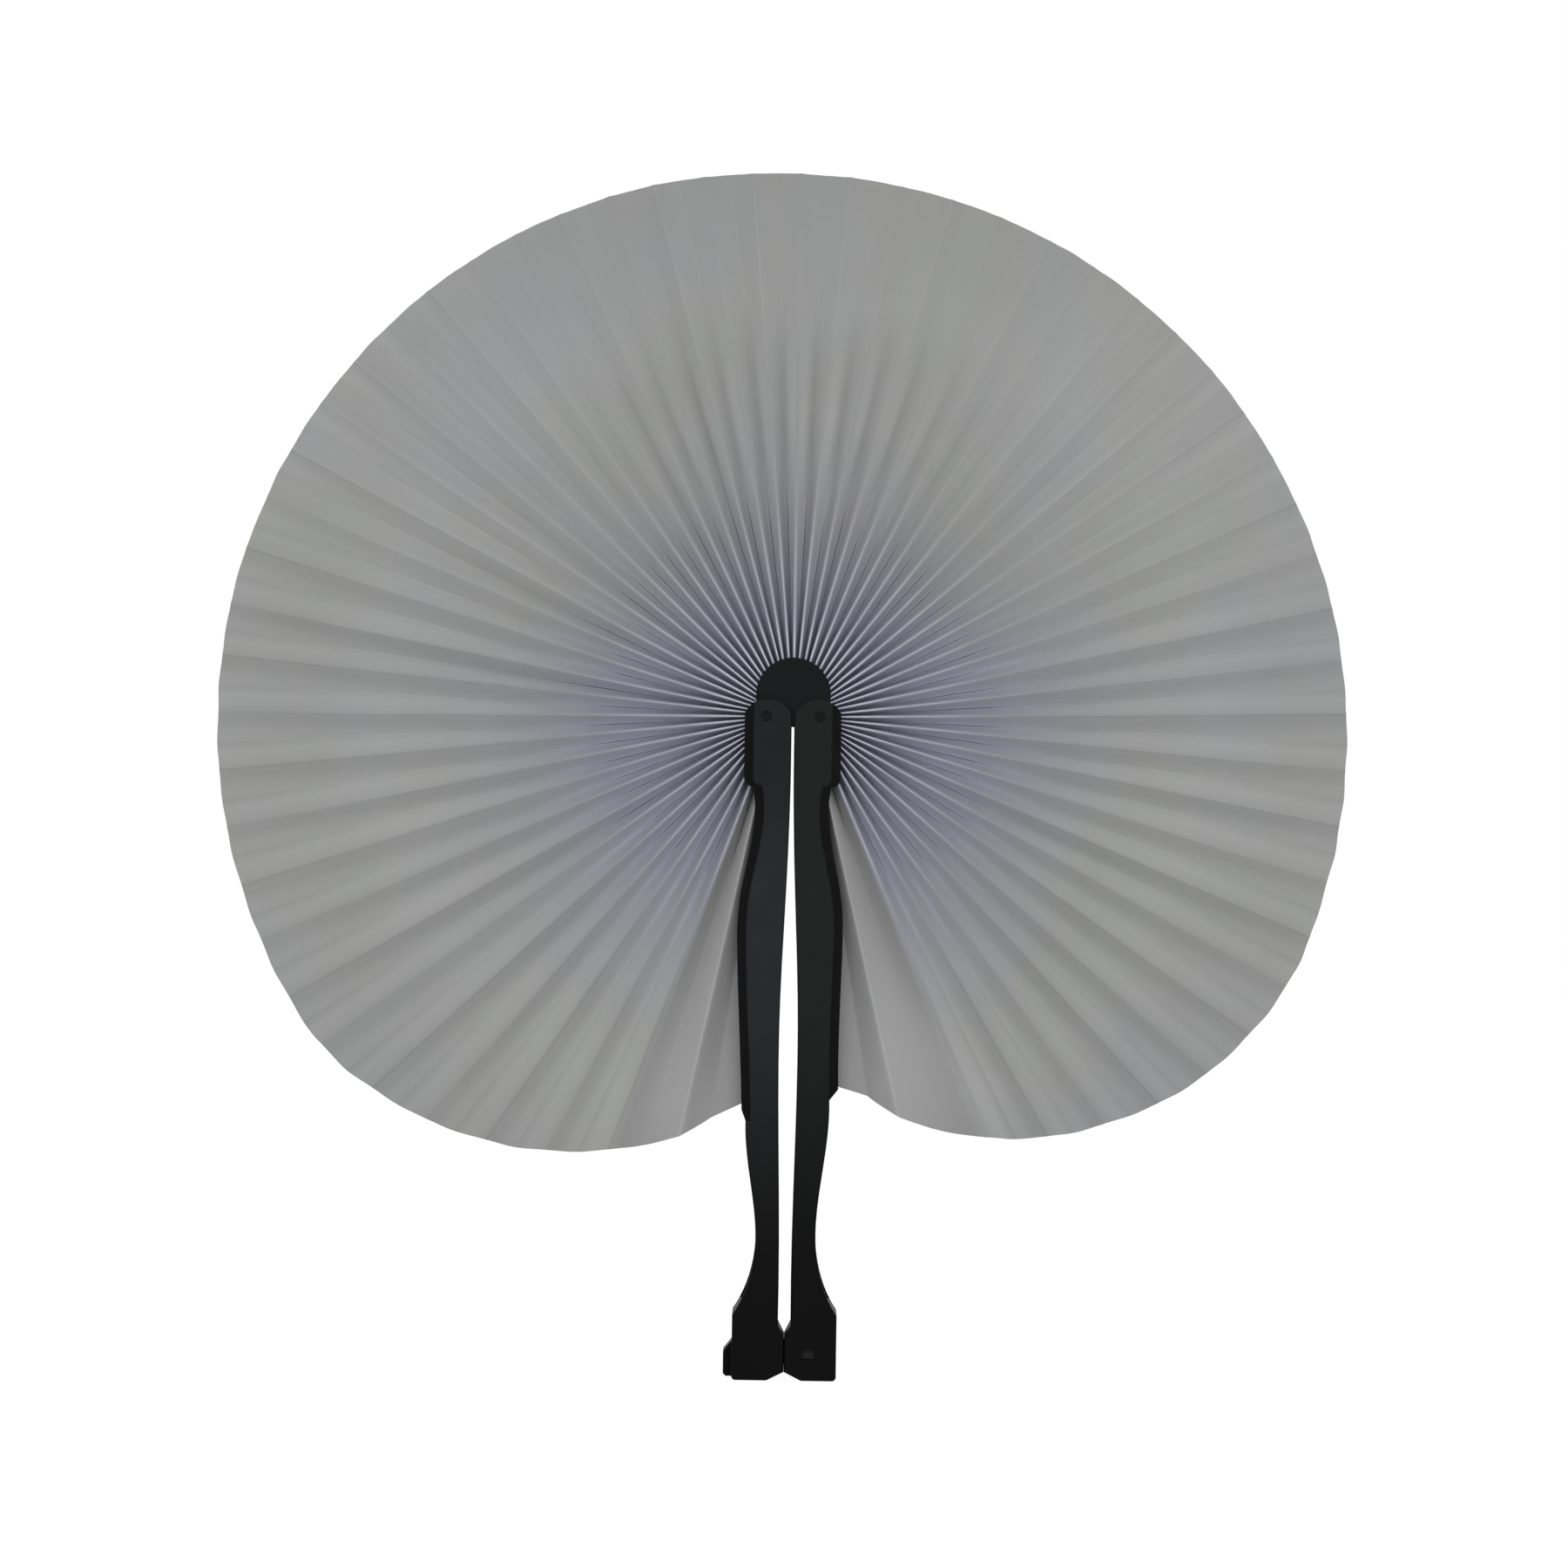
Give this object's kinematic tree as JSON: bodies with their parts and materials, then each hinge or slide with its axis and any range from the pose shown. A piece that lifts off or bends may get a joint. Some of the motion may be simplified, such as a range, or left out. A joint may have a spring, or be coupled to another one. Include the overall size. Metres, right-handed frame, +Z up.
{
  "type": "round folding hand fan",
  "caption": "Round folding hand fan: a pleated paper disc on a small hub, with two channel arms that latch below as a handle and swing up to close round the folded paper as a case.",
  "frame": {"origin": "middle of the grip, between the two arms of the handle, where a hand holds it", "axes": "+Z up the handle to the hub, -Y out of the front of the leaf, +X to the right seen from the front"},
  "size_m": [0.2504, 0.012, 0.2663],
  "materials": {
    "arm_plastic": "satin moulded",
    "hub_plastic": "satin moulded",
    "pin_plastic": "satin",
    "leaf_paper": "uncoated, pleated",
    "thread": "twisted thread"
  },
  "bodies": {
    "left_arm": {"left_arm": "arm_plastic", "leaf_left_end": "leaf_paper"},
    "hub": {"hub_front_plate": "hub_plastic", "hub_back_plate": "hub_plastic", "left_pivot_pin": "pin_plastic", "right_pivot_pin": "pin_plastic", "binding_thread": "thread"},
    "right_arm": {"right_arm": "arm_plastic", "leaf_right_end": "leaf_paper"},
    "leaf_left_01": {"leaf_left_01": "leaf_paper"},
    "leaf_left_02": {"leaf_left_02": "leaf_paper"},
    "leaf_left_03": {"leaf_left_03": "leaf_paper"},
    "leaf_left_04": {"leaf_left_04": "leaf_paper"},
    "leaf_left_05": {"leaf_left_05": "leaf_paper"},
    "leaf_left_06": {"leaf_left_06": "leaf_paper"},
    "leaf_left_07": {"leaf_left_07": "leaf_paper"},
    "leaf_left_08": {"leaf_left_08": "leaf_paper"},
    "leaf_left_09": {"leaf_left_09": "leaf_paper"},
    "leaf_left_10": {"leaf_left_10": "leaf_paper"},
    "leaf_left_11": {"leaf_left_11": "leaf_paper"},
    "leaf_left_12": {"leaf_left_12": "leaf_paper"},
    "leaf_left_13": {"leaf_left_13": "leaf_paper"},
    "leaf_left_14": {"leaf_left_14": "leaf_paper"},
    "leaf_right_01": {"leaf_right_01": "leaf_paper"},
    "leaf_right_02": {"leaf_right_02": "leaf_paper"},
    "leaf_right_03": {"leaf_right_03": "leaf_paper"},
    "leaf_right_04": {"leaf_right_04": "leaf_paper"},
    "leaf_right_05": {"leaf_right_05": "leaf_paper"},
    "leaf_right_06": {"leaf_right_06": "leaf_paper"},
    "leaf_right_07": {"leaf_right_07": "leaf_paper"},
    "leaf_right_08": {"leaf_right_08": "leaf_paper"},
    "leaf_right_09": {"leaf_right_09": "leaf_paper"},
    "leaf_right_10": {"leaf_right_10": "leaf_paper"},
    "leaf_right_11": {"leaf_right_11": "leaf_paper"},
    "leaf_right_12": {"leaf_right_12": "leaf_paper"},
    "leaf_right_13": {"leaf_right_13": "leaf_paper"}
  },
  "joints": [
    {"name": "hub_swing", "type": "hinge", "parent": "left_arm", "child": "hub", "pos_m": [-0.00585, 0, 0.107], "axis": [0, -1, 0], "range_deg": [0, 180], "deforming": ["leaf_left_end"]},
    {"name": "right_arm_swing", "type": "hinge", "parent": "hub", "child": "right_arm", "pos_m": [0.00585, 0, 0.107], "axis": [0, -1, 0], "range_deg": [0, 180], "deforming": ["leaf_right_end"]},
    {"name": "leaf_left_01_fold", "type": "hinge", "parent": "left_arm", "child": "leaf_left_01", "pos_m": [-0.00585, 0, 0.107], "axis": [0, -1, 0], "range_deg": [0, 174.9], "deforming": ["leaf_left_01"]},
    {"name": "leaf_left_02_fold", "type": "hinge", "parent": "left_arm", "child": "leaf_left_02", "pos_m": [-0.00585, 0, 0.107], "axis": [0, -1, 0], "range_deg": [0, 164.68], "deforming": ["leaf_left_02"]},
    {"name": "leaf_left_03_fold", "type": "hinge", "parent": "left_arm", "child": "leaf_left_03", "pos_m": [-0.00585, 0, 0.107], "axis": [0, -1, 0], "range_deg": [0, 154.4], "deforming": ["leaf_left_03"]},
    {"name": "leaf_left_04_fold", "type": "hinge", "parent": "left_arm", "child": "leaf_left_04", "pos_m": [-0.00585, 0, 0.107], "axis": [0, -1, 0], "range_deg": [0, 144.04], "deforming": ["leaf_left_04"]},
    {"name": "leaf_left_05_fold", "type": "hinge", "parent": "left_arm", "child": "leaf_left_05", "pos_m": [-0.00585, 0, 0.107], "axis": [0, -1, 0], "range_deg": [0, 133.54], "deforming": ["leaf_left_05"]},
    {"name": "leaf_left_06_fold", "type": "hinge", "parent": "left_arm", "child": "leaf_left_06", "pos_m": [-0.00585, 0, 0.107], "axis": [0, -1, 0], "range_deg": [0, 122.87], "deforming": ["leaf_left_06"]},
    {"name": "leaf_left_07_fold", "type": "hinge", "parent": "left_arm", "child": "leaf_left_07", "pos_m": [-0.00585, 0, 0.107], "axis": [0, -1, 0], "range_deg": [0, 112], "deforming": ["leaf_left_07"]},
    {"name": "leaf_left_08_fold", "type": "hinge", "parent": "left_arm", "child": "leaf_left_08", "pos_m": [-0.00585, 0, 0.107], "axis": [0, -1, 0], "range_deg": [0, 100.89], "deforming": ["leaf_left_08"]},
    {"name": "leaf_left_09_fold", "type": "hinge", "parent": "left_arm", "child": "leaf_left_09", "pos_m": [-0.00585, 0, 0.107], "axis": [0, -1, 0], "range_deg": [0, 89.5], "deforming": ["leaf_left_09"]},
    {"name": "leaf_left_10_fold", "type": "hinge", "parent": "left_arm", "child": "leaf_left_10", "pos_m": [-0.00585, 0, 0.107], "axis": [0, -1, 0], "range_deg": [0, 77.79], "deforming": ["leaf_left_10"]},
    {"name": "leaf_left_11_fold", "type": "hinge", "parent": "left_arm", "child": "leaf_left_11", "pos_m": [-0.00585, 0, 0.107], "axis": [0, -1, 0], "range_deg": [0, 65.73], "deforming": ["leaf_left_11"]},
    {"name": "leaf_left_12_fold", "type": "hinge", "parent": "left_arm", "child": "leaf_left_12", "pos_m": [-0.00585, 0, 0.107], "axis": [0, -1, 0], "range_deg": [0, 53.28], "deforming": ["leaf_left_12"]},
    {"name": "leaf_left_13_fold", "type": "hinge", "parent": "left_arm", "child": "leaf_left_13", "pos_m": [-0.00585, 0, 0.107], "axis": [0, -1, 0], "range_deg": [0, 40.4], "deforming": ["leaf_left_13"]},
    {"name": "leaf_left_14_fold", "type": "hinge", "parent": "left_arm", "child": "leaf_left_14", "pos_m": [-0.00585, 0, 0.107], "axis": [0, -1, 0], "range_deg": [0, 27.06], "deforming": ["leaf_left_14"]},
    {"name": "leaf_right_01_fold", "type": "hinge", "parent": "hub", "child": "leaf_right_01", "pos_m": [0.00585, 0, 0.107], "axis": [0, -1, 0], "range_deg": [0, 5.45], "deforming": ["leaf_right_01"]},
    {"name": "leaf_right_02_fold", "type": "hinge", "parent": "hub", "child": "leaf_right_02", "pos_m": [0.00585, 0, 0.107], "axis": [0, -1, 0], "range_deg": [0, 16.36], "deforming": ["leaf_right_02"]},
    {"name": "leaf_right_03_fold", "type": "hinge", "parent": "hub", "child": "leaf_right_03", "pos_m": [0.00585, 0, 0.107], "axis": [0, -1, 0], "range_deg": [0, 27.31], "deforming": ["leaf_right_03"]},
    {"name": "leaf_right_04_fold", "type": "hinge", "parent": "hub", "child": "leaf_right_04", "pos_m": [0.00585, 0, 0.107], "axis": [0, -1, 0], "range_deg": [0, 38.31], "deforming": ["leaf_right_04"]},
    {"name": "leaf_right_05_fold", "type": "hinge", "parent": "hub", "child": "leaf_right_05", "pos_m": [0.00585, 0, 0.107], "axis": [0, -1, 0], "range_deg": [0, 49.38], "deforming": ["leaf_right_05"]},
    {"name": "leaf_right_06_fold", "type": "hinge", "parent": "hub", "child": "leaf_right_06", "pos_m": [0.00585, 0, 0.107], "axis": [0, -1, 0], "range_deg": [0, 60.55], "deforming": ["leaf_right_06"]},
    {"name": "leaf_right_07_fold", "type": "hinge", "parent": "hub", "child": "leaf_right_07", "pos_m": [0.00585, 0, 0.107], "axis": [0, -1, 0], "range_deg": [0, 71.84], "deforming": ["leaf_right_07"]},
    {"name": "leaf_right_08_fold", "type": "hinge", "parent": "hub", "child": "leaf_right_08", "pos_m": [0.00585, 0, 0.107], "axis": [0, -1, 0], "range_deg": [0, 83.27], "deforming": ["leaf_right_08"]},
    {"name": "leaf_right_09_fold", "type": "hinge", "parent": "hub", "child": "leaf_right_09", "pos_m": [0.00585, 0, 0.107], "axis": [0, -1, 0], "range_deg": [0, 94.86], "deforming": ["leaf_right_09"]},
    {"name": "leaf_right_10_fold", "type": "hinge", "parent": "hub", "child": "leaf_right_10", "pos_m": [0.00585, 0, 0.107], "axis": [0, -1, 0], "range_deg": [0, 106.64], "deforming": ["leaf_right_10"]},
    {"name": "leaf_right_11_fold", "type": "hinge", "parent": "hub", "child": "leaf_right_11", "pos_m": [0.00585, 0, 0.107], "axis": [0, -1, 0], "range_deg": [0, 118.62], "deforming": ["leaf_right_11"]},
    {"name": "leaf_right_12_fold", "type": "hinge", "parent": "hub", "child": "leaf_right_12", "pos_m": [0.00585, 0, 0.107], "axis": [0, -1, 0], "range_deg": [0, 130.82], "deforming": ["leaf_right_12"]},
    {"name": "leaf_right_13_fold", "type": "hinge", "parent": "hub", "child": "leaf_right_13", "pos_m": [0.00585, 0, 0.107], "axis": [0, -1, 0], "range_deg": [0, 143.28], "deforming": ["leaf_right_13"]}
  ],
  "couplings": [
    {"joint": "leaf_left_01_fold", "follows": "hub_swing", "ratio": 0.97166},
    {"joint": "leaf_left_02_fold", "follows": "hub_swing", "ratio": 0.91488},
    {"joint": "leaf_left_03_fold", "follows": "hub_swing", "ratio": 0.8578},
    {"joint": "leaf_left_04_fold", "follows": "hub_swing", "ratio": 0.80019},
    {"joint": "leaf_left_05_fold", "follows": "hub_swing", "ratio": 0.74186},
    {"joint": "leaf_left_06_fold", "follows": "hub_swing", "ratio": 0.68261},
    {"joint": "leaf_left_07_fold", "follows": "hub_swing", "ratio": 0.62221},
    {"joint": "leaf_left_08_fold", "follows": "hub_swing", "ratio": 0.56048},
    {"joint": "leaf_left_09_fold", "follows": "hub_swing", "ratio": 0.4972},
    {"joint": "leaf_left_10_fold", "follows": "hub_swing", "ratio": 0.43216},
    {"joint": "leaf_left_11_fold", "follows": "hub_swing", "ratio": 0.36516},
    {"joint": "leaf_left_12_fold", "follows": "hub_swing", "ratio": 0.29599},
    {"joint": "leaf_left_13_fold", "follows": "hub_swing", "ratio": 0.22444},
    {"joint": "leaf_left_14_fold", "follows": "hub_swing", "ratio": 0.15032},
    {"joint": "leaf_right_01_fold", "follows": "right_arm_swing", "ratio": 0.03028},
    {"joint": "leaf_right_02_fold", "follows": "right_arm_swing", "ratio": 0.090901},
    {"joint": "leaf_right_03_fold", "follows": "right_arm_swing", "ratio": 0.1517},
    {"joint": "leaf_right_04_fold", "follows": "right_arm_swing", "ratio": 0.2128},
    {"joint": "leaf_right_05_fold", "follows": "right_arm_swing", "ratio": 0.27432},
    {"joint": "leaf_right_06_fold", "follows": "right_arm_swing", "ratio": 0.33638},
    {"joint": "leaf_right_07_fold", "follows": "right_arm_swing", "ratio": 0.3991},
    {"joint": "leaf_right_08_fold", "follows": "right_arm_swing", "ratio": 0.4626},
    {"joint": "leaf_right_09_fold", "follows": "right_arm_swing", "ratio": 0.52699},
    {"joint": "leaf_right_10_fold", "follows": "right_arm_swing", "ratio": 0.59241},
    {"joint": "leaf_right_11_fold", "follows": "right_arm_swing", "ratio": 0.65897},
    {"joint": "leaf_right_12_fold", "follows": "right_arm_swing", "ratio": 0.72678},
    {"joint": "leaf_right_13_fold", "follows": "right_arm_swing", "ratio": 0.79597}
  ]
}
